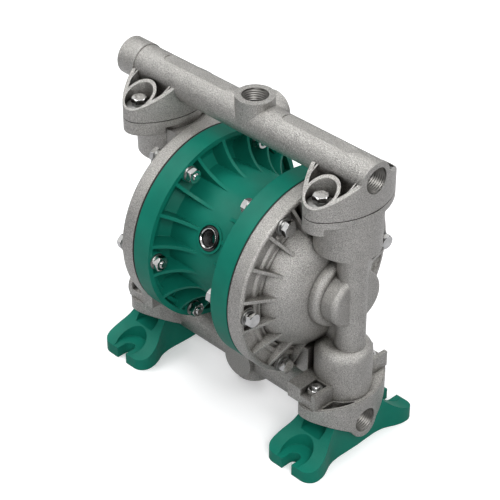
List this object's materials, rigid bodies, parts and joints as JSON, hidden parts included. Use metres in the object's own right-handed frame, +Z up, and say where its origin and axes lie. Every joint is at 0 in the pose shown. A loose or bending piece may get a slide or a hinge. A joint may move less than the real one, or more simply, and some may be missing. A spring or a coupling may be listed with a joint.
{
  "type": "air operated diaphragm pump",
  "caption": "Compact air operated double diaphragm pump with ribbed green body, cast casings and manifolds, standing on slotted feet.",
  "frame": {"origin": "on the floor, midway between the feet and under the shaft's middle", "axes": "+X along the shaft to the right hand casing, +Y to the back, +Z up"},
  "size_m": [0.2421, 0.1486, 0.2498],
  "materials": {
    "green_plastic": "moulded polypropylene, fine grain",
    "cast_aluminium": "blasted casting",
    "stainless": "bright stainless",
    "black_plastic": "gloss black",
    "silencer_plastic": "matt black, porous",
    "black_rubber": "moulded rubber",
    "bearing_plastic": "machined acetal",
    "steel": "ground steel",
    "ball_rubber": "smooth moulded rubber",
    "white_plastic": "moulded polypropylene"
  },
  "bodies": {
    "root": {"centre_body": "green_plastic", "right_foot": "green_plastic", "left_foot": "green_plastic", "air_inlet_bush": "black_plastic", "exhaust_silencer": "silencer_plastic", "right_casing": "cast_aluminium", "left_casing": "cast_aluminium", "top_manifold": "cast_aluminium", "bottom_manifold": "cast_aluminium", "right_diaphragm": "black_rubber", "left_diaphragm": "black_rubber", "shaft_bushes": "bearing_plastic", "shaft_seals": "black_rubber", "pilot_bushes": "bearing_plastic", "valve_sleeve": "bearing_plastic", "valve_caps": "black_plastic", "valve_cap_rings": "black_rubber", "lower_valve_seats": "white_plastic", "upper_valve_seats": "white_plastic", "lower_seat_rings": "black_rubber", "upper_seat_rings": "black_rubber", "lower_ball_cages": "white_plastic", "upper_ball_cages": "white_plastic", "casing_bolts": "stainless", "casing_flat_washers": "stainless", "casing_spring_washers": "stainless", "casing_nut_washers": "stainless", "casing_nuts": "stainless", "manifold_bolts": "stainless", "manifold_washers": "stainless", "manifold_spring_washers": "stainless", "manifold_nuts": "stainless", "foot_screws": "stainless"},
    "shaft": {"shaft": "steel", "inner_plates": "cast_aluminium", "outer_plates": "cast_aluminium", "shaft_end_screws": "stainless"},
    "pilot_pin": {"pilot_pin": "steel"},
    "spool": {"valve_spool": "steel", "spool_rings": "black_rubber"},
    "left_lower_ball": {"left_lower_ball": "ball_rubber"},
    "right_lower_ball": {"right_lower_ball": "ball_rubber"},
    "left_upper_ball": {"left_upper_ball": "ball_rubber"},
    "right_upper_ball": {"right_upper_ball": "ball_rubber"}
  },
  "joints": [
    {"name": "shaft_slide", "type": "slide", "parent": "root", "child": "shaft", "axis": [1, 0, 0], "range_m": [-0.007, 0.007], "deforming": ["right_diaphragm", "left_diaphragm"]},
    {"name": "pilot_slide", "type": "slide", "parent": "root", "child": "pilot_pin", "axis": [1, 0, 0], "range_m": [-0.0025, 0.0025]},
    {"name": "spool_slide", "type": "slide", "parent": "root", "child": "spool", "axis": [1, 0, 0], "range_m": [-0.004, 0.004]},
    {"name": "left_lower_ball_lift", "type": "slide", "parent": "root", "child": "left_lower_ball", "axis": [0, 0, 1], "range_m": [0, 0.005]},
    {"name": "left_upper_ball_lift", "type": "slide", "parent": "root", "child": "left_upper_ball", "axis": [0, 0, 1], "range_m": [0, 0.005]},
    {"name": "right_lower_ball_lift", "type": "slide", "parent": "root", "child": "right_lower_ball", "axis": [0, 0, 1], "range_m": [0, 0.005]},
    {"name": "right_upper_ball_lift", "type": "slide", "parent": "root", "child": "right_upper_ball", "axis": [0, 0, 1], "range_m": [0, 0.005]}
  ],
  "couplings": [
    {"joint": "pilot_slide", "follows": "shaft_slide", "ratio": 0.3571}
  ]
}
